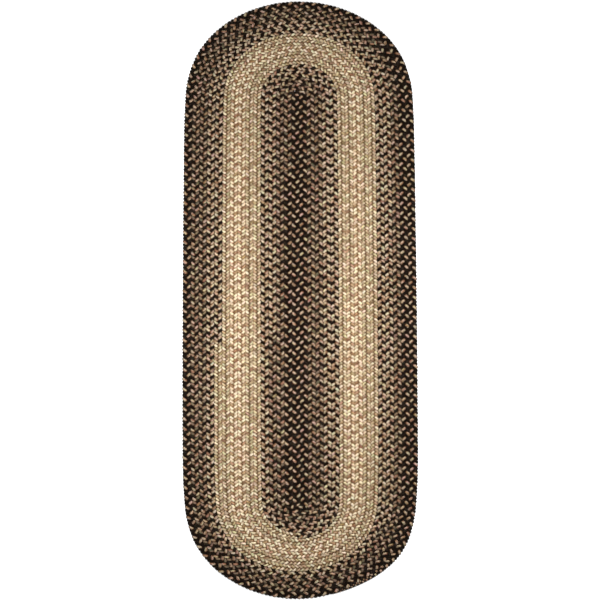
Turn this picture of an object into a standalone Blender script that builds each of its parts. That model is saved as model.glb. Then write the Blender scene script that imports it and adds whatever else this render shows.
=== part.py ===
"""A braided runner rug: a three-strand braid, coiled clockwise from a middle strip and laced edge to edge.

Metres, +Z up, with the rug lying flat: X is its width and Y its length. The origin is the middle of its
underside. Each row of braid is raised on both faces, with a seam between rows. The braid's own strands are
too fine for a solid.
"""

import math

import bmesh
import bpy

# The braid and how it is coiled
BRAID_WIDTH = 0.023  # from seam to seam, so one row of the rug
STRAIGHT = 1.203  # length of the straight part of every row
ROWS_RIGHT = 15  # rows to the right of the middle strip
ROWS_LEFT = 14  # rows to its left
END_PACKING = 0.81  # rows lie this much closer together at the tips of the round ends
TAIL_TAPERS_FROM = math.radians(22.5)  # where the last row starts to narrow, turned from the right side
TAIL_ENDS_AT = math.radians(75)  # where it has run out into the rim

# Heights
THICKNESS = 0.012
SEAM_DEPTH = 0.0032  # how far the seams lie below the crowns, on each face
CROWN_SHARE = 0.46  # flat part of a row's width
RIM_ROUND = 0.0030  # how far in from the rim the top face starts to fall
RIM_DROP = 0.0030  # how far it has fallen there

# How unevenly it lies: it is slightly narrower at the head and where the turns begin, and leans a little to the
# right at the foot. The rows between the two rims lie a few millimetres nearer the head.
NARROWING = 0.069
NARROWS_FROM = -0.3  # in shares of the length, from the middle
WAISTS = (  # (share of the width lost, place and reach in shares of the length)
    (0.020, -0.374, 0.055),
    (0.012, 0.373, 0.050),
)
LEAN = 0.0038
HEADWARD = 0.0075
HEADWARD_CHANGE = 0.0040  # more by this at the foot, and less at the head

# Mesh steps
TURN_STEPS = 24  # facets round each half turn
STRAIGHT_STEPS = 5

# Rows are numbered along the braid from the middle strip, which is row 0: odd rows lie right, even rows left
BEIGE_FROM_ROW = 10
BEIGE_UNTIL_ROW = 20
BEIGE_ENDS_AT_Y = -0.150  # on the last beige row

# Colours as (red, green, blue), linear
DARK_YARN = (0.075, 0.050, 0.034)
BEIGE_YARN = (0.50, 0.39, 0.25)

UPPER_HALF_LENGTH = ROWS_RIGHT * BRAID_WIDTH * END_PACKING
LOWER_HALF_LENGTH = (ROWS_LEFT + 0.5) * BRAID_WIDTH * END_PACKING
LENGTH = STRAIGHT + UPPER_HALF_LENGTH + LOWER_HALF_LENGTH
MIDDLE_Y = (LOWER_HALF_LENGTH - UPPER_HALF_LENGTH) / 2  # middle of the straights, from the rug's middle
SEAM_Z = THICKNESS - SEAM_DEPTH
RIM_Z = THICKNESS / 2


def clear_scene():
    for thing in list(bpy.data.objects):
        bpy.data.objects.remove(thing)


def yarn_material(name, colour):
    material = bpy.data.materials.new(name)
    material.use_nodes = True
    shader = material.node_tree.nodes["Principled BSDF"]
    shader.inputs["Base Color"].default_value = (*colour, 1)
    shader.inputs["Roughness"].default_value = 0.9
    shader.inputs["Metallic"].default_value = 0
    return material


def settled(x, y):
    """Where a point of the evenly coiled rug ends up on the floor."""
    along = y / LENGTH
    narrower = 1 - NARROWING * (along - NARROWS_FROM) ** 2
    for lost, place, reach in WAISTS:
        narrower -= lost * math.exp(-(((along - place) / reach) ** 2))
    to_rim = 2 * along
    headward = (HEADWARD - HEADWARD_CHANGE * to_rim) * (1 - to_rim**6)
    return x * narrower - LEAN * y, y + headward


def rows_outward(first_centre, count):
    """(distance, height) of each row's crown edges and the seams between rows. Distances are in row widths."""
    half_crown = CROWN_SHARE / 2
    points = []
    for row in range(count):
        centre = first_centre + row
        points += [(centre - half_crown, THICKNESS), (centre + half_crown, THICKNESS)]
        if row < count - 1:
            points.append((centre + 0.5, SEAM_Z))
    return points


def rim_at(distance):
    """The last two points of a row that ends the rug: where the face falls away, and the rim itself."""
    return [(distance - RIM_ROUND / BRAID_WIDTH, THICKNESS - RIM_DROP), (distance, RIM_Z)]


def upper_turn_profile():
    """From the head end's centre, a seam, out to the rim."""
    return [(0, SEAM_Z)] + rows_outward(0.5, ROWS_RIGHT) + rim_at(ROWS_RIGHT)


def tail_share(angle):
    """How much of the last row is left at this angle of the foot end, from 1 down to 0."""
    turned = (angle - TAIL_TAPERS_FROM) / (TAIL_ENDS_AT - TAIL_TAPERS_FROM)
    turned = min(max(turned, 0), 1)
    return (1 + math.cos(math.pi * turned)) / 2


def lower_turn_profile(angle, has_tail):
    """From the braid's rounded start out to the rim, with the tapering last row where it is still there."""
    inner_rim = rim_at(ROWS_LEFT + 0.5)
    rows = [(CROWN_SHARE / 2, THICKNESS), (0.5, SEAM_Z)] + rows_outward(1, ROWS_LEFT)
    if not has_tail:
        return rows + inner_rim
    full = [(ROWS_LEFT + 0.5, SEAM_Z)] + rows_outward(ROWS_RIGHT, 1) + rim_at(ROWS_RIGHT + 0.5)
    spent = [inner_rim[0]] * 2 + [inner_rim[1]] * 3
    share = tail_share(angle)
    tail = [
        (gone[0] + (whole[0] - gone[0]) * share, gone[1] + (whole[1] - gone[1]) * share)
        for whole, gone in zip(full, spent)
    ]
    return rows + tail


def straight_profile():
    """From the left rim to the right rim, in row widths from the middle strip."""
    left = [(-distance, height) for distance, height in reversed(rim_at(ROWS_LEFT + 0.5))]
    rows = rows_outward(-ROWS_LEFT, ROWS_LEFT + 1 + ROWS_RIGHT)
    return left + rows + rim_at(ROWS_RIGHT + 0.5)


def straight_section(step):
    y = STRAIGHT * (step / STRAIGHT_STEPS - 0.5)
    return [(across * BRAID_WIDTH, y, height) for across, height in straight_profile()]


def upper_section(step):
    angle = math.pi * step / TURN_STEPS
    return [
        (
            (0.5 + distance * math.cos(angle)) * BRAID_WIDTH,
            STRAIGHT / 2 + distance * math.sin(angle) * BRAID_WIDTH * END_PACKING,
            height,
        )
        for distance, height in upper_turn_profile()
    ]


def lower_section(step, has_tail):
    angle = math.pi * step / TURN_STEPS
    return [
        (
            distance * math.cos(angle) * BRAID_WIDTH,
            -STRAIGHT / 2 - distance * math.sin(angle) * BRAID_WIDTH * END_PACKING,
            height,
        )
        for distance, height in lower_turn_profile(angle, has_tail)
    ]


def placed(point, underside):
    """A point of the even coil as it lies in the rug, on the upper face or mirrored onto the underside."""
    x, y, height = point
    x -= BRAID_WIDTH / 2
    y += MIDDLE_Y
    return (*settled(x, y), THICKNESS - height if underside else height)


def is_beige(points):
    """Whether the face between these points of the even coil lies in the beige rows."""
    x = sum(point[0] for point in points) / len(points)
    y = sum(point[1] for point in points) / len(points)
    past_end = max(abs(y) - STRAIGHT / 2, 0) / END_PACKING
    centre = BRAID_WIDTH / 2 if y > STRAIGHT / 2 else 0
    if past_end:
        across = math.hypot(x - centre, past_end)
        reach = across if x > centre else -across
        lane = round((centre + reach) / BRAID_WIDTH)
    else:
        lane = round(x / BRAID_WIDTH)
    row = 2 * lane - 1 if lane > 0 else -2 * lane
    if row == BEIGE_UNTIL_ROW:
        return y < BEIGE_ENDS_AT_Y
    return BEIGE_FROM_ROW <= row < BEIGE_UNTIL_ROW


def cover(mesh, sections, underside):
    """Faces between neighbouring sections, on one side of the rug."""
    for one, other in zip(sections, sections[1:]):
        for i in range(len(one) - 1):
            corners = [one[i], one[i + 1], other[i + 1], other[i]]
            face = mesh.faces.new([mesh.verts.new(placed(p, underside)) for p in corners])
            face.material_index = int(is_beige(corners))


def cap_of_start(mesh, sections, underside):
    """The flat crown of the braid's rounded start."""
    arc = [section[0] for section in sections]
    face = mesh.faces.new([mesh.verts.new(placed(p, underside)) for p in arc])
    face.material_index = 0


def braided_rug():
    mesh = bmesh.new()
    straight = [straight_section(step) for step in range(STRAIGHT_STEPS + 1)]
    upper = [upper_section(step) for step in range(TURN_STEPS + 1)]
    tail_steps = round(TAIL_ENDS_AT / math.pi * TURN_STEPS)
    with_tail = [lower_section(step, True) for step in range(tail_steps + 1)]
    past_tail = [lower_section(step, False) for step in range(tail_steps, TURN_STEPS + 1)]
    for underside in (False, True):
        for sections in (straight, upper, with_tail, past_tail):
            cover(mesh, sections, underside)
        cap_of_start(mesh, with_tail + past_tail[1:], underside)
    bmesh.ops.remove_doubles(mesh, verts=mesh.verts, dist=0.00001)
    bmesh.ops.recalc_face_normals(mesh, faces=mesh.faces)

    lowest = min(vertex.co.x for vertex in mesh.verts)
    highest = max(vertex.co.x for vertex in mesh.verts)
    bmesh.ops.translate(mesh, verts=mesh.verts, vec=(-(lowest + highest) / 2, 0, 0))

    data = bpy.data.meshes.new("braided_rug")
    mesh.to_mesh(data)
    mesh.free()
    rug = bpy.data.objects.new("braided_rug", data)
    data.materials.append(yarn_material("dark_yarn_braid", DARK_YARN))
    data.materials.append(yarn_material("beige_yarn_braid", BEIGE_YARN))
    bpy.context.scene.collection.objects.link(rug)
    return rug


clear_scene()
braided_rug()
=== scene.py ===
"""The braided runner rug's looks: three strands of heathered yarn, plaited and coiled as the real rug is.

Each strand is one piece that runs the whole length of the braid, from the middle strip to the tucked-in end,
and a lacing thread runs in the seams between the rows.
Metres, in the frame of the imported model, with the rug's underside on the floor at z = 0.
"""

import math

import bpy
import numpy as np
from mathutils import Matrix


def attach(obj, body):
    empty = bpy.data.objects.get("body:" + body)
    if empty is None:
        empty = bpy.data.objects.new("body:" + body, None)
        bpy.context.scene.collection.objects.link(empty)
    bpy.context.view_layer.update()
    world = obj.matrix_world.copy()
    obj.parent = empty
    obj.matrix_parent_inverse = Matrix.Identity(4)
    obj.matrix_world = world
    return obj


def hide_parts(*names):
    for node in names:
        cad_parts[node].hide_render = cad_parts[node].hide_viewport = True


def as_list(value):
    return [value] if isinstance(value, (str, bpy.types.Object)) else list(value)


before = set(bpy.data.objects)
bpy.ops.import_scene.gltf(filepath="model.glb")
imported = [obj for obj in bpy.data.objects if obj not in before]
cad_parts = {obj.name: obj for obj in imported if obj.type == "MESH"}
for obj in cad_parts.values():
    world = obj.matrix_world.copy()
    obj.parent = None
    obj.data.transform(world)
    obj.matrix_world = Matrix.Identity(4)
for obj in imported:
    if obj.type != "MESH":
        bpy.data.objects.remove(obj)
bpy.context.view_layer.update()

# The coil, as the solid has it
BRAID_WIDTH = 0.023
STRAIGHT = 1.203
ROWS_RIGHT = 15
ROWS_LEFT = 14
END_PACKING = 0.81  # the rug is laid with this share of the even coil's length
TAIL_TAPERS_FROM = math.radians(22.5)
TAIL_ENDS_AT = math.radians(75)
THICKNESS = 0.012
NARROWING = 0.069
NARROWS_FROM = -0.3
WAISTS = (  # (share of the width lost, place and reach in shares of the length)
    (0.020, -0.374, 0.055),
    (0.012, 0.373, 0.050),
)
LEAN = 0.0038
HEADWARD = 0.0075
HEADWARD_CHANGE = 0.0040
UPPER_HALF_LENGTH = ROWS_RIGHT * BRAID_WIDTH * END_PACKING
LOWER_HALF_LENGTH = (ROWS_LEFT + 0.5) * BRAID_WIDTH * END_PACKING
LENGTH = STRAIGHT + UPPER_HALF_LENGTH + LOWER_HALF_LENGTH
MIDDLE_Y = (LOWER_HALF_LENGTH - UPPER_HALF_LENGTH) / 2
LAST_ROW = 2 * ROWS_RIGHT - 1

# The braid, in the even coil
STRANDS = 3
PERIOD = 0.0357  # along the braid, until a strand is back where it was
SWING = 0.00797  # how far a strand's middle moves to each side
SWING_FLATTENING = -0.00045
RISE = 0.00310  # and up and down, where it crosses the others
RISE_SHARPENING = 0.00026
ROLL = math.radians(-22.5)  # how far it leans over where it crosses the middle
STRAND_WIDTH = 0.0104
STRAND_THICKNESS = 0.0050
STEPS_PER_PERIOD = 9.7
BUNCHING = 0.3  # by this share the steps are closer at the braid's edges, where a strand turns back
STRAND_SIDES = 6
STRAND_COLUMNS = 48  # its bake map is cut into so many
WANDER_RATE = 60.0  # how fast a strand's wander and fullness change, a metre of braid
STRAY = 0.0008  # how far it wanders sideways
FULLNESS_CHANGE = 0.10
START_TAPER = 0.6  # the braid starts narrow, and has its width after this many widths
START_SHARE = 0.45
START_BEFORE = 0.30  # widths by which it starts before the straight
FINEST = 0.35  # where the braid narrows its plait gets finer too, down to this share
TAIL_TUCK = 0.13  # widths by which the end of its tail is pressed into the row inside it
TAIL_SHORT = 0.06  # radians of turn by which it stops before the tail has no width left
PLAIT_SAMPLES = 60001  # along the braid, where its crossings are counted

# The lacing thread in the seams
LACING_PERIOD = 0.0238
LACING_SWING = 0.0012
LACING_WIDTH = 0.0050
LACING_THICKNESS = 0.0050
LACING_SIDES = 4
LACING_STEP = 0.005
LACING_COLUMNS = 64
LACING_ENDS_AT = math.radians(50)  # of the foot's turn, beside the tail

# The yarn. The rates are changes a metre of braid
PLIES = 6
TWIST = 55.0  # radians a metre of braid
FLECK_RATE = 55.0
HUE_RATE = 42.0
LOBE_RATE = 64.0
FIBRE_RATE = 260.0
FIBRES_ACROSS = 8.0  # changes over half a strand
FLECK_EDGE = (0.51, 0.55)  # of the noise, from the yarn's own colour to its flecks
RIDGE_PAINTED_SHADE = (0.60, 1.05)  # of the colour, from painted shade in the grooves between plies to their ridges
FIBRE_SHADE = (0.70, 1.30)
LOBE_SHADE = (0.86, 1.12)
FIBRE_ROUGHNESS = (0.95, 0.78)
SIDE_PAINTED_SHADE = (0.16, 0.41)  # painted shade, from crease to crown, in thicknesses of the strand over its middle
CROSSING_PAINTED_SHADE = (0.10, 0.42)  # and painted shade where it comes out from under the others, in shares of how far the strand has swung out
CROWN_PAINTED_LIGHT = (1.12, 1.11, 1.10)  # painted light: of its own colour, on the crowns of the lobes

SIDE_HALF = STRAIGHT / 2 / END_PACKING  # half the straight in the even coil
ROW_LENGTH = 2 * SIDE_HALF


def turn_radius(row):
    """Radius of the turn that follows a row, at the middle of the braid."""
    return BRAID_WIDTH * (row + 1) / 2


def row_start(row):
    """Length of braid, from the start of row 0's straight to the start of this row's straight."""
    turns = sum(math.pi * turn_radius(earlier) for earlier in range(row))
    return row * ROW_LENGTH + turns


def braid_place(row, straight_share=0.0, turn_share=0.0):
    """Length of braid up to a share of a row's straight, or to a share of the turn that follows it."""
    return row_start(row) + straight_share * ROW_LENGTH + turn_share * math.pi * turn_radius(row)


def tail_share(angle):
    """How much of the last row's width is left in the foot end's turn, from 1 down to 0."""
    turned = np.clip((angle - TAIL_TAPERS_FROM) / (TAIL_ENDS_AT - TAIL_TAPERS_FROM), 0, 1)
    return (1 + np.cos(math.pi * turned)) / 2


def coil_at(length):
    """Place in the even coil, direction across to the right, and width share, at these lengths of braid."""
    place = np.zeros((len(length), 3))
    travel = np.zeros((len(length), 2))
    share = np.ones_like(length)
    for row in range(LAST_ROW + 1):
        up = row % 2 == 0
        lane = -row / 2 if up else (row + 1) / 2
        start = row_start(row)
        on = (length >= start) & (length < start + ROW_LENGTH)
        if row == 0:
            on |= length < 0
        done = length[on] - start
        place[on, 0] = lane * BRAID_WIDTH
        place[on, 1] = done - SIDE_HALF if up else SIDE_HALF - done
        travel[on] = (0, 1 if up else -1)

        turn_start = start + ROW_LENGTH
        radius = turn_radius(row)
        on = (length >= turn_start) & (length < turn_start + math.pi * radius)
        turned = (length[on] - turn_start) / radius
        if row == LAST_ROW:
            share[on] = tail_share(turned)
            radius = BRAID_WIDTH * (ROWS_LEFT + 0.5 + share[on] / 2 - TAIL_TUCK * (1 - share[on]))
        side = -1 if up else 1
        place[on, 0] = (BRAID_WIDTH / 2 if up else 0) + side * radius * np.cos(turned)
        place[on, 1] = -side * (SIDE_HALF + radius * np.sin(turned))
        travel[on] = -side * np.stack([np.sin(turned), np.cos(turned)], axis=1)
    begun = (length / BRAID_WIDTH + START_BEFORE) / START_TAPER
    share *= START_SHARE + (1 - START_SHARE) * np.clip(begun, 0, 1)
    across = np.column_stack([travel[:, 1], -travel[:, 0], np.zeros(len(length))])
    return place, across, share


BRAID_START = -START_BEFORE * BRAID_WIDTH
BRAID_END = row_start(LAST_ROW) + ROW_LENGTH + (TAIL_ENDS_AT - TAIL_SHORT) * turn_radius(LAST_ROW)
# The seams start down the middle strip's right side and round its start, and end inside the tail
SEAM_LEAD = ROW_LENGTH + math.pi * BRAID_WIDTH / 2
SEAM_END = SEAM_LEAD + braid_place(LAST_ROW - 2, 1) + LACING_ENDS_AT * turn_radius(LAST_ROW - 2)


def guide_line(name, place, across, share, along):
    """A string of edges that carries what the strand tree needs at each point."""
    line = bpy.data.meshes.new(name)
    line.from_pydata(place.tolist(), [(i, i + 1) for i in range(len(place) - 1)], [])
    for label, kind, field, values in (
        ("along", "FLOAT", "value", along),
        ("share", "FLOAT", "value", share),
        ("across", "FLOAT_VECTOR", "vector", across),
    ):
        attribute = line.attributes.new(label, kind, "POINT")
        attribute.data.foreach_set(field, np.asarray(values, np.float32).ravel())
    return line


def plaited_lengths():
    """Places along the coil, and the length of full-width braid with as many crossings as up to there."""
    laid = np.linspace(BRAID_START, BRAID_END, PLAIT_SAMPLES)
    finer = 1 / np.maximum(coil_at(laid)[2], FINEST)
    plaited = np.concatenate([[0], np.cumsum((finer[1:] + finer[:-1]) / 2 * np.diff(laid))])
    full_width = START_TAPER * BRAID_WIDTH
    return laid, plaited + full_width - np.interp(full_width, laid, plaited)


def braid_line(number):
    """The middle line of the braid in the even coil, with its steps where this strand needs them."""
    phase = number / STRANDS
    laid, plaited = plaited_lengths()
    count = round((plaited[-1] - plaited[0]) / PERIOD * STEPS_PER_PERIOD) + 1
    turns = np.linspace(plaited[0] / PERIOD + phase, plaited[-1] / PERIOD + phase, count)
    turns += BUNCHING / (4 * math.pi) * np.sin(4 * math.pi * turns)
    along = (turns - phase) * PERIOD
    return guide_line("braid_line", *coil_at(np.interp(along, plaited, laid)), along)


def seam_line():
    """The line of the seams: down the middle strip's right side, round its start, then outside every row."""
    half = BRAID_WIDTH / 2
    down = np.arange(SIDE_HALF, -SIDE_HALF, -LACING_STEP)
    first = np.column_stack([np.full_like(down, half), down, np.zeros_like(down)])
    first_across = np.tile([-1.0, 0, 0], (len(down), 1))
    angle = np.linspace(0, math.pi, 9)[1:-1]
    round_start = np.column_stack([half * np.cos(angle), -SIDE_HALF - half * np.sin(angle), 0 * angle])
    round_across = np.column_stack([-np.cos(angle), np.sin(angle), 0 * angle])
    coiled = np.arange(0, SEAM_END - SEAM_LEAD, LACING_STEP)
    middle, across, _ = coil_at(coiled)
    place = np.concatenate([first, round_start, middle - half * across])
    across = np.concatenate([first_across, round_across, across])
    along = np.concatenate([SIDE_HALF - down, ROW_LENGTH + half * angle, SEAM_LEAD + coiled])
    return guide_line("seam_line", place, across, np.ones(len(place)), along)


class Tree:
    """A node tree that is built call by call. Inputs take values or other nodes' outputs."""

    def __init__(self, tree):
        self.tree = tree

    @classmethod
    def group(cls, name, kind, inputs, outputs):
        tree = bpy.data.node_groups.new(name, kind)
        for label, socket in inputs:
            tree.interface.new_socket(label, in_out="INPUT", socket_type=socket)
        for label, socket in outputs:
            tree.interface.new_socket(label, in_out="OUTPUT", socket_type=socket)
        return cls(tree)

    def put(self, socket, value):
        if isinstance(value, bpy.types.NodeSocket):
            self.tree.links.new(value, socket)
        else:
            socket.default_value = value

    def add(self, kind, inputs=None, **settings):
        node = self.tree.nodes.new(kind)
        for name, value in settings.items():
            setattr(node, name, value)
        for name, value in (inputs or {}).items():
            self.put(node.inputs[name], value)
        return node

    def math(self, operation, *values):
        return self.add("ShaderNodeMath", dict(enumerate(values)), operation=operation).outputs["Value"]

    def total(self, *values):
        result = values[0]
        for value in values[1:]:
            result = self.math("ADD", result, value)
        return result

    def product(self, *values):
        result = values[0]
        for value in values[1:]:
            result = self.math("MULTIPLY", result, value)
        return result

    def vector(self, operation, one, other):
        return self.add("ShaderNodeVectorMath", {0: one, 1: other}, operation=operation).outputs["Vector"]

    def scaled(self, vector, by):
        node = self.add("ShaderNodeVectorMath", {0: vector, "Scale": by}, operation="SCALE")
        return node.outputs["Vector"]

    def joined(self, x=0.0, y=0.0, z=0.0):
        return self.add("ShaderNodeCombineXYZ", {"X": x, "Y": y, "Z": z}).outputs["Vector"]

    def parts(self, vector):
        return self.add("ShaderNodeSeparateXYZ", {"Vector": vector}).outputs

    def mixed(self, one, other, factor):
        node = self.add("ShaderNodeMix", data_type="RGBA")
        for index, value in ((0, factor), (6, one), (7, other)):
            self.put(node.inputs[index], value)
        return node.outputs[2]

    def spread(self, value, low, high, to_low=0.0, to_high=1.0):
        inputs = {"Value": value, "From Min": low, "From Max": high, "To Min": to_low, "To Max": to_high}
        return self.add("ShaderNodeMapRange", inputs).outputs["Result"]

    def noise(self, place, detail=1.0):
        return self.add("ShaderNodeTexNoise", {"Vector": place, "Scale": 1.0, "Detail": detail}).outputs


STRAND_INPUTS = (
    ("Geometry", "NodeSocketGeometry"),
    ("Phase", "NodeSocketFloat"),
    ("Period", "NodeSocketFloat"),
    ("Swing", "NodeSocketFloat"),
    ("Swing Flattening", "NodeSocketFloat"),
    ("Rise", "NodeSocketFloat"),
    ("Rise Sharpening", "NodeSocketFloat"),
    ("Roll", "NodeSocketFloat"),
    ("Strand Width", "NodeSocketFloat"),
    ("Strand Thickness", "NodeSocketFloat"),
    ("Sides", "NodeSocketInt"),
    ("Unevenness", "NodeSocketFloat"),
    ("Seed", "NodeSocketFloat"),
    ("Material", "NodeSocketMaterial"),
)


def laid_out(t):
    """Where each point of the even coil lies in the rug, as in the solid."""
    even = t.parts(t.add("GeometryNodeInputPosition").outputs["Position"])
    y = t.math("MULTIPLY_ADD", even["Y"], END_PACKING, MIDDLE_Y)
    along = t.math("DIVIDE", y, LENGTH)
    from_foot = t.math("SUBTRACT", along, NARROWS_FROM)
    narrower = t.math("SUBTRACT", 1.0, t.product(from_foot, from_foot, NARROWING))
    for lost, place, reach in WAISTS:
        away = t.math("DIVIDE", t.math("SUBTRACT", along, place), reach)
        waist = t.product(t.math("EXPONENT", t.product(away, away, -1.0)), lost)
        narrower = t.math("SUBTRACT", narrower, waist)
    x = t.math("MULTIPLY", t.math("SUBTRACT", even["X"], BRAID_WIDTH / 2), narrower)
    x = t.math("SUBTRACT", x, t.math("MULTIPLY", y, LEAN))
    to_rim = t.math("MULTIPLY", along, 2.0)
    inside = t.math("SUBTRACT", 1.0, t.product(*[to_rim] * 6))
    headward = t.product(t.math("SUBTRACT", HEADWARD, t.math("MULTIPLY", to_rim, HEADWARD_CHANGE)), inside)
    return t.joined(x, t.math("ADD", y, headward), even["Z"])


def stored(t, geometry, name, value, **settings):
    """The geometry with a named attribute on its points."""
    node = t.add("GeometryNodeStoreNamedAttribute", {"Geometry": geometry, "Name": name}, **settings)
    t.put(node.inputs["Value"], value)
    return node.outputs["Geometry"]


def strand_profile(t, given):
    """A strand's section, whose points keep their place on the round ring."""
    sizes = {"Resolution": given["Sides"], "Radius": 1.0}
    ring = t.add("GeometryNodeCurvePrimitiveCircle", sizes).outputs["Curve"]
    place = t.add("GeometryNodeInputPosition").outputs["Position"]
    ring = stored(t, ring, "ring", place, data_type="FLOAT_VECTOR", domain="POINT")
    half_width = t.math("DIVIDE", given["Strand Width"], 2.0)
    half_thickness = t.math("DIVIDE", given["Strand Thickness"], 2.0)
    half_size = t.joined(half_width, half_thickness, 1.0)
    return t.add("GeometryNodeTransform", {"Geometry": ring, "Scale": half_size}).outputs["Geometry"]


def slow_wander(t, given, along):
    """A slow change along a strand, about zero."""
    place = t.math("MULTIPLY_ADD", along, WANDER_RATE, given["Seed"])
    inputs = {"W": place, "Scale": 1.0, "Detail": 1.0}
    noise = t.add("ShaderNodeTexNoise", inputs, noise_dimensions="1D", normalize=False)
    return t.math("MULTIPLY", noise.outputs["Fac"], given["Unevenness"])


def strand_tree():
    """Winds one strand along its guide line, and lays it out as the rug lies."""
    t = Tree.group("wound_strand", "GeometryNodeTree", STRAND_INPUTS, [("Geometry", "NodeSocketGeometry")])
    given = t.add("NodeGroupInput").outputs

    def carried(name, kind="FLOAT"):
        node = t.add("GeometryNodeInputNamedAttribute", {"Name": name}, data_type=kind)
        return node.outputs["Attribute"]

    along, share, across = carried("along"), carried("share"), carried("across", "FLOAT_VECTOR")
    turn = t.math("ADD", t.math("DIVIDE", along, given["Period"]), given["Phase"])
    angle = t.math("MULTIPLY", turn, 2 * math.pi)

    def wave(kind, times, size):
        return t.product(t.math(kind, t.math("MULTIPLY", angle, times)), size, share)

    wander = slow_wander(t, given, along)
    sideways = t.total(
        wave("SINE", 1.0, given["Swing"]),
        wave("SINE", 3.0, given["Swing Flattening"]),
        t.product(wander, share, STRAY),
    )
    height = t.total(
        wave("SINE", 2.0, given["Rise"]),
        wave("SINE", 4.0, given["Rise Sharpening"]),
        THICKNESS / 2,
    )
    offset = t.vector("ADD", t.scaled(across, sideways), t.joined(z=height))

    curve = t.add("GeometryNodeMeshToCurve", {"Mesh": given["Geometry"]}).outputs["Curve"]
    curve = stored(t, curve, "middle", height)
    curve = t.add("GeometryNodeSetPosition", {"Geometry": curve, "Offset": offset}).outputs["Geometry"]
    curve = t.add("GeometryNodeSetCurveNormal", {"Curve": curve}, mode="Z_UP").outputs["Curve"]
    tilt = t.product(t.math("COSINE", angle), given["Roll"])
    curve = t.add("GeometryNodeSetCurveTilt", {"Curve": curve, "Tilt": tilt}).outputs["Curve"]
    full = t.product(share, t.math("MULTIPLY_ADD", wander, FULLNESS_CHANGE, 1.0))
    curve = t.add("GeometryNodeSetCurveRadius", {"Curve": curve, "Radius": full}).outputs["Curve"]

    inputs = {"Curve": curve, "Profile Curve": strand_profile(t, given), "Fill Caps": True}
    tube = t.add("GeometryNodeCurveToMesh", inputs).outputs["Mesh"]
    tube = t.add("GeometryNodeSetShadeSmooth", {"Geometry": tube}).outputs["Geometry"]
    tube = t.add("GeometryNodeSetPosition", {"Geometry": tube, "Position": laid_out(t)}).outputs["Geometry"]
    tube = t.add("GeometryNodeRealizeInstances", {"Geometry": tube}).outputs["Geometry"]
    tube = t.add("GeometryNodeSetMaterial", {"Geometry": tube, "Material": given["Material"]})
    t.add("NodeGroupOutput", {"Geometry": tube.outputs["Geometry"]})
    return t.tree


def wound(name, tree, line, values):
    """A strand as a plain mesh. values are the tree's inputs by name."""
    maker = bpy.data.objects.new(name + "_maker", line)
    bpy.context.scene.collection.objects.link(maker)
    modifier = maker.modifiers.new("wind", "NODES")
    modifier.node_group = tree
    sockets = {s.name: s.identifier for s in tree.interface.items_tree if s.in_out == "INPUT"}
    for label, value in values.items():
        modifier[sockets[label]] = value
    graph = bpy.context.evaluated_depsgraph_get()
    mesh = bpy.data.meshes.new_from_object(maker.evaluated_get(graph), depsgraph=graph)
    bpy.data.objects.remove(maker)
    mesh.name = name
    piece = bpy.data.objects.new(name, mesh)
    bpy.context.scene.collection.objects.link(piece)
    return piece


MAP_MARGIN = 0.002  # left free at both ends of a column
COLUMN_MARGIN = 0.06  # share of a column's width that is left free on each side
START_CAP_AT = 0.982
END_CAP_AT = 0.994
CAP_RADIUS = 0.003


def bake_map(piece, sides, columns):
    """A UV map for baking: the tube cut into equal lengths, laid side by side and opened flat."""
    mesh = piece.data
    vertex = np.empty(len(mesh.loops), np.int32)
    mesh.loops.foreach_get("vertex_index", vertex)
    first_corner = np.empty(len(mesh.polygons), np.int32)
    mesh.polygons.foreach_get("loop_start", first_corner)
    count = np.diff(np.append(first_corner, len(vertex)))

    def by_face(least_or_most, values):
        return np.repeat(least_or_most.reduceat(values, first_corner), count)

    ring, side = vertex // sides, vertex % sides
    face_ring = by_face(np.minimum, ring)
    closes_round = by_face(np.maximum, side) - by_face(np.minimum, side) == sides - 1
    is_cap = by_face(np.maximum, ring) == face_ring
    length = math.ceil(ring.max() / columns)
    column = face_ring // length
    u = (ring - column * length) / length
    v = (side + sides * (closes_round & (side == 0))) / sides
    u = MAP_MARGIN + (1 - 2 * MAP_MARGIN) * u
    v = (column + COLUMN_MARGIN + (1 - 2 * COLUMN_MARGIN) * v) / columns

    # The two ends lie in the room that is left in the last column
    turned = side / sides * 2 * math.pi
    cap_at = np.where(ring == 0, START_CAP_AT, END_CAP_AT)
    u = np.where(is_cap, cap_at + CAP_RADIUS * np.cos(turned), u)
    v = np.where(is_cap, 1 - 0.5 / columns + CAP_RADIUS * np.sin(turned), v)
    layer = mesh.uv_layers.new(name="OFBake", do_init=False)
    layer.uv.foreach_set("vector", np.column_stack([u, v]).astype(np.float32).ravel())


def braid_strand(name, tree, number, material):
    values = {
        "Phase": number / STRANDS,
        "Period": PERIOD,
        "Swing": SWING,
        "Swing Flattening": SWING_FLATTENING,
        "Rise": RISE,
        "Rise Sharpening": RISE_SHARPENING,
        "Roll": ROLL,
        "Strand Width": STRAND_WIDTH,
        "Strand Thickness": STRAND_THICKNESS,
        "Sides": STRAND_SIDES,
        "Unevenness": 1.0,
        "Seed": 10.0 * number,
        "Material": material,
    }
    strand = wound(name, tree, braid_line(number), values)
    bake_map(strand, STRAND_SIDES, STRAND_COLUMNS)
    return strand


def lacing_thread(tree, material):
    values = {
        "Period": LACING_PERIOD,
        "Swing": LACING_SWING,
        "Strand Width": LACING_WIDTH,
        "Strand Thickness": LACING_THICKNESS,
        "Sides": LACING_SIDES,
        "Material": material,
    }
    lacing = wound("lacing_thread", tree, seam_line(), values)
    bake_map(lacing, LACING_SIDES, LACING_COLUMNS)
    return lacing


# Painted shade: what is left of a yarn's colour in the creases between the lobes. Most is left in the
# palest yarn, where much light gets in
PAINTED_CREASE_SHADE = (0.56, 0.46, 0.37)
BEIGE_PAINTED_CREASE_SHADE = (0.52, 0.435, 0.35)
PALEST_PAINTED_CREASE_SHADE = (0.66, 0.575, 0.475)
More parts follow.
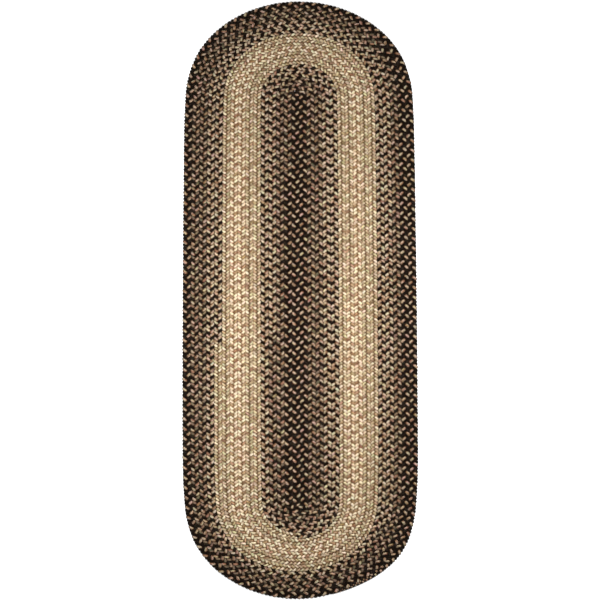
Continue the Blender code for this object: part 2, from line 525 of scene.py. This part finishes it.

# Yarn colours as seen in daylight: (its own colour, the flecks in it, the painted shade in its creases)
YARNS = {
    "black": ((0.076, 0.042, 0.013), (0.143, 0.118, 0.093), PAINTED_CREASE_SHADE),
    "tan": ((0.616, 0.54, 0.452), (0.473, 0.338, 0.245), PAINTED_CREASE_SHADE),
    "taupe": ((0.439, 0.363, 0.295), (0.295, 0.279, 0.219), PAINTED_CREASE_SHADE),
    "cream": ((0.688, 0.633, 0.536), (0.566, 0.448, 0.346), PAINTED_CREASE_SHADE),
    "beige_cream": ((0.81, 0.75, 0.645), (0.605, 0.51, 0.40), BEIGE_PAINTED_CREASE_SHADE),
    "pale_cream": ((0.825, 0.765, 0.655), (0.70, 0.615, 0.505), PALEST_PAINTED_CREASE_SHADE),
    "sand": ((0.64, 0.55, 0.43), (0.45, 0.345, 0.255), PAINTED_CREASE_SHADE),
    "khaki": ((0.725, 0.665, 0.54), (0.565, 0.48, 0.365), BEIGE_PAINTED_CREASE_SHADE),
    "rose_brown": ((0.63, 0.515, 0.40), (0.455, 0.335, 0.235), PAINTED_CREASE_SHADE),
    "dark_cord": ((0.211, 0.152, 0.101), (0.16, 0.118, 0.076), PAINTED_CREASE_SHADE),
    "beige_cord": ((0.59, 0.50, 0.385), (0.49, 0.40, 0.305), PAINTED_CREASE_SHADE),
}

# Where each strand's yarn changes along the braid: (length of braid, yarn from there on)
SPLICES = {
    "first_strand": (
        (BRAID_START, "black"),
        (braid_place(9, 1, 0.5), "beige_cream"),
        (braid_place(13, 0.5), "pale_cream"),
        (braid_place(16, 1, 0.33), "beige_cream"),
        (braid_place(20, 0.39), "black"),
    ),
    "second_strand": (
        (BRAID_START, "tan"),
        (braid_place(9, 1, 0.5), "sand"),
        (braid_place(13, 0.5), "rose_brown"),
        (braid_place(16, 1, 0.33), "sand"),
        (braid_place(20, 0.39), "tan"),
    ),
    "third_strand": (
        (BRAID_START, "black"),
        (braid_place(2, 0.8), "taupe"),
        (braid_place(6, 0.42), "cream"),
        (braid_place(9, 1, 0.5), "khaki"),
        (braid_place(13, 0.5), "pale_cream"),
        (braid_place(16, 1, 0.33), "khaki"),
        (braid_place(20, 0.39), "cream"),
        (braid_place(23, 1, 0.08), "taupe"),
        (braid_place(26, 1, 0.8), "black"),
    ),
}

LACING_SPLICES = (
    (0, "dark_cord"),
    (SEAM_LEAD + braid_place(9, 1, 0.5), "beige_cord"),
    (SEAM_LEAD + braid_place(18, 0.38), "dark_cord"),
)


def linear(colour):
    """A colour as it is seen, in the values that shaders take."""
    return tuple(c / 12.92 if c <= 0.04045 else ((c + 0.055) / 1.055) ** 2.4 for c in colour)


YARN_INPUTS = (
    ("Colour", "NodeSocketColor"),
    ("Fleck", "NodeSocketColor"),
    ("Painted Crease Shade", "NodeSocketColor"),
    ("Flecks", "NodeSocketFloat"),
    ("Heather", "NodeSocketFloat"),
    ("Plies", "NodeSocketFloat"),
    ("Twist", "NodeSocketFloat"),
    ("Seed", "NodeSocketFloat"),
    ("Thickness", "NodeSocketFloat"),
    ("Period", "NodeSocketFloat"),
    ("Phase", "NodeSocketFloat"),
    ("Crossing Painted Shade", "NodeSocketFloat"),
)
YARN_OUTPUTS = (
    ("Colour", "NodeSocketColor"),
    ("Roughness", "NodeSocketFloat"),
    ("Height", "NodeSocketFloat"),
)


def ply_colour(t, given, along, number):
    """Flecks on some plies, and a hue that changes from ply to ply and every couple of centimetres along."""
    place = t.joined(t.math("MULTIPLY_ADD", number, 1.3, given["Seed"]), t.product(along, FLECK_RATE), 31.0)
    flecked = t.spread(t.noise(place)["Fac"], *FLECK_EDGE)
    colour = t.mixed(given["Colour"], given["Fleck"], t.product(flecked, given["Flecks"]))
    place = t.joined(t.math("MULTIPLY_ADD", number, 0.8, given["Seed"]), t.product(along, HUE_RATE))
    tint = t.vector("SUBTRACT", t.noise(place)["Color"], (0.5, 0.5, 0.5))
    # The palest yarns vary less
    variety = t.spread(t.parts(given["Colour"])["Y"], 0.3, 0.5, 1.0, 0.65)
    tint = t.vector("ADD", t.scaled(tint, t.product(given["Heather"], variety)), (1.0, 1.0, 1.0))
    return t.vector("MULTIPLY", colour, tint)


def open_to_light(t, given, along):
    """From 0 in the creases, down the strand's sides and where it comes out from under the others, to 1.
    It mixes the painted shade in the creases with the painted light on the crowns.
    """
    height = t.parts(t.add("ShaderNodeTexCoord").outputs["Object"])["Z"]
    middle = t.add("ShaderNodeAttribute", attribute_name="middle").outputs["Fac"]
    raised = t.math("DIVIDE", t.math("ABSOLUTE", t.math("SUBTRACT", height, middle)), given["Thickness"])
    turn = t.math("ADD", t.math("DIVIDE", along, given["Period"]), given["Phase"])
    outward = t.math("ABSOLUTE", t.math("SINE", t.product(turn, 2 * math.pi)))
    crossing = t.spread(outward, *CROSSING_PAINTED_SHADE, t.math("SUBTRACT", 1.0, given["Crossing Painted Shade"]), 1.0)
    return t.product(crossing, t.spread(raised, *SIDE_PAINTED_SHADE))


def heathered_yarn():
    """Twisted plies of heathered yarn: colour that changes from ply to ply and along, grooves and fibres.
    Painted shade in the grooves and creases, painted light on the crowns.
    """
    t = Tree.group("heathered_yarn", "ShaderNodeTree", YARN_INPUTS, YARN_OUTPUTS)
    given = t.add("NodeGroupInput").outputs
    along = t.add("ShaderNodeAttribute", attribute_name="along").outputs["Fac"]
    ring = t.add("ShaderNodeAttribute", attribute_name="ring").outputs["Vector"]
    twisted = t.add("ShaderNodeVectorRotate", {"Vector": ring}, rotation_type="Z_AXIS")
    t.put(twisted.inputs["Angle"], t.product(along, given["Twist"]))
    around = t.parts(twisted.outputs["Vector"])
    ply = t.product(t.math("ARCTAN2", around["Y"], around["X"]), 1 / (2 * math.pi), given["Plies"])
    ridge = t.math("SINE", t.product(t.math("FRACT", ply), math.pi))
    colour = ply_colour(t, given, along, t.math("FLOOR", ply))

    # Fibres drawn out along the ply, painted shade in the grooves between plies, and a slow change from lobe
    # to lobe
    place = [t.product(around["X"], FIBRES_ACROSS), t.product(around["Y"], FIBRES_ACROSS)]
    fibre = t.noise(t.joined(*place, t.product(along, FIBRE_RATE)), 2.0)["Fac"]
    lobe = t.noise(t.joined(given["Seed"], t.product(along, LOBE_RATE), 17.0))["Fac"]
    shade = t.product(t.spread(ridge, 0.0, 0.8, *RIDGE_PAINTED_SHADE), t.spread(fibre, 0.3, 0.7, *FIBRE_SHADE))
    colour = t.scaled(colour, t.product(shade, t.spread(lobe, 0.3, 0.7, *LOBE_SHADE)))

    # Painted shade in the creases and painted light on the crowns of the lobes
    left = t.mixed(given["Painted Crease Shade"], (*CROWN_PAINTED_LIGHT, 1), open_to_light(t, given, along))
    results = {
        "Colour": t.vector("MULTIPLY", colour, left),
        "Roughness": t.spread(fibre, 0.3, 0.7, *FIBRE_ROUGHNESS),
        "Height": t.total(t.product(ridge, 0.75), t.product(fibre, 0.25)),
    }
    t.add("NodeGroupOutput", results)
    return t.tree


def spliced(t, splices, which):
    """One of the yarn's colours, from splice to splice along the braid. which is its place in YARNS."""
    along = t.add("ShaderNodeAttribute", attribute_name="along").outputs["Fac"]
    colours = [(place, (*linear(YARNS[yarn][which]), 1)) for place, yarn in splices]
    colour = colours[0][1]
    for place, after in colours[1:]:
        colour = t.mixed(colour, after, t.math("GREATER_THAN", along, place))
    return colour


def yarn_material(name, group, colour_of, values):
    """Heathered yarn. colour_of(tree, which) gives one of its colours, by its place in YARNS."""
    material = bpy.data.materials.new(name)
    material.use_nodes = True
    shader = material.node_tree.nodes["Principled BSDF"]
    t = Tree(material.node_tree)
    yarn = t.add("ShaderNodeGroup", node_tree=group)
    given = {"Flecks": 0.8, "Heather": 0.65}
    for which, label in enumerate(("Colour", "Fleck", "Painted Crease Shade")):
        given[label] = colour_of(t, which)
    for label, value in {**given, **values}.items():
        t.put(yarn.inputs[label], value)
    bump = t.add("ShaderNodeBump", {"Strength": 1.0, "Distance": 0.0008, "Height": yarn.outputs["Height"]})
    t.put(shader.inputs["Base Color"], yarn.outputs["Colour"])
    t.put(shader.inputs["Roughness"], yarn.outputs["Roughness"])
    t.put(shader.inputs["Normal"], bump.outputs["Normal"])
    shader.inputs["Specular IOR Level"].default_value = 0.06
    shader.inputs["Sheen Weight"].default_value = 0.01
    shader.inputs["Sheen Roughness"].default_value = 0.6
    return material


def strand_material(name, group, number):
    def colour_of(t, which):
        return spliced(t, SPLICES[name], which)

    values = {
        "Plies": PLIES,
        "Twist": TWIST,
        "Seed": 100.0 + 50.0 * number,
        "Thickness": STRAND_THICKNESS,
        "Period": PERIOD,
        "Phase": number / STRANDS,
        "Crossing Painted Shade": 1.0,
    }
    return yarn_material(name + "_yarn", group, colour_of, values)


def lacing_material(group):
    def colour_of(t, which):
        return spliced(t, LACING_SPLICES, which)

    values = {
        "Plies": 2,
        "Twist": 600.0,
        "Seed": 300.0,
        "Thickness": LACING_THICKNESS,
        "Period": LACING_PERIOD,
    }
    return yarn_material("lacing_cord", group, colour_of, values)


def floor_material():
    """Pale and matt. It glows a little, so that it stays white where the lamp's light falls off."""
    material = bpy.data.materials.new("pale_floor")
    material.use_nodes = True
    shader = material.node_tree.nodes["Principled BSDF"]
    shader.inputs["Base Color"].default_value = (0.95, 0.95, 0.95, 1)
    shader.inputs["Emission Color"].default_value = (1, 1, 1, 1)
    shader.inputs["Emission Strength"].default_value = 0.6
    shader.inputs["Roughness"].default_value = 1
    shader.inputs["Specular IOR Level"].default_value = 0
    return material


def floor():
    mesh = bpy.data.meshes.new("floor")
    half = 8.0
    corners = [(-half, -half, 0), (half, -half, 0), (half, half, 0), (-half, half, 0)]
    mesh.from_pydata(corners, [], [(0, 1, 2, 3)])
    mesh.materials.append(floor_material())
    plane = bpy.data.objects.new("floor", mesh)
    bpy.context.scene.collection.objects.link(plane)


def area_light(name, place, size, power):
    light = bpy.data.lights.new(name, "AREA")
    light.shape = "DISK"
    light.size = size
    light.energy = power
    lamp = bpy.data.objects.new(name, light)
    lamp.location = place
    aim = -lamp.location
    lamp.rotation_euler = aim.to_track_quat("-Z", "Y").to_euler()
    bpy.context.scene.collection.objects.link(lamp)


def studio():
    world = bpy.data.worlds.new("studio")
    world.use_nodes = True
    world.node_tree.nodes["Background"].inputs["Color"].default_value = (1, 1, 1, 1)
    world.node_tree.nodes["Background"].inputs["Strength"].default_value = 0.15
    scene = bpy.context.scene
    scene.world = world
    scene.view_settings.view_transform = "Standard"
    # The first lamp hangs low over the middle, so the light falls off towards both ends of the rug
    area_light("overhead", place=(0.06, -0.05, 1.40), size=0.6, power=38)
    area_light("side", place=(-1.6, 2.2, 3.4), size=1.6, power=26)


FRAME_WIDTH = 1.7605  # of floor that the picture spans
CAMERA_HEIGHT = 6.0
PICTURE_MIDDLE = (-0.0010, 0.0006)


def camera():
    data = bpy.data.cameras.new("camera")
    data.sensor_width = 36
    data.lens = data.sensor_width * (CAMERA_HEIGHT - THICKNESS) / FRAME_WIDTH
    eye = bpy.data.objects.new("camera", data)
    eye.location = (*PICTURE_MIDDLE, CAMERA_HEIGHT)
    bpy.context.scene.collection.objects.link(eye)
    bpy.context.scene.camera = eye


def points_of(piece):
    places = np.empty(len(piece.data.vertices) * 3, np.float32)
    piece.data.vertices.foreach_get("co", places)
    return places.reshape(-1, 3)


def centre_across(pieces):
    """Moves the pieces' points so that the rug's box is centred across, as the solid's is."""
    low = min(points_of(piece)[:, 0].min() for piece in pieces)
    high = max(points_of(piece)[:, 0].max() for piece in pieces)
    for piece in pieces:
        places = points_of(piece)
        places[:, 0] -= (low + high) / 2
        piece.data.vertices.foreach_set("co", places.ravel())
        piece.data.update()


studio()
camera()
floor()
tree = strand_tree()
yarn = heathered_yarn()
strands = [
    braid_strand(name, tree, number, strand_material(name, yarn, number))
    for number, name in enumerate(SPLICES)
]
rug_pieces = strands + [lacing_thread(tree, lacing_material(yarn))]
centre_across(rug_pieces)
for piece in rug_pieces:
    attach(piece, "root")
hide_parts("braided_rug")
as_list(rug_pieces[1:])
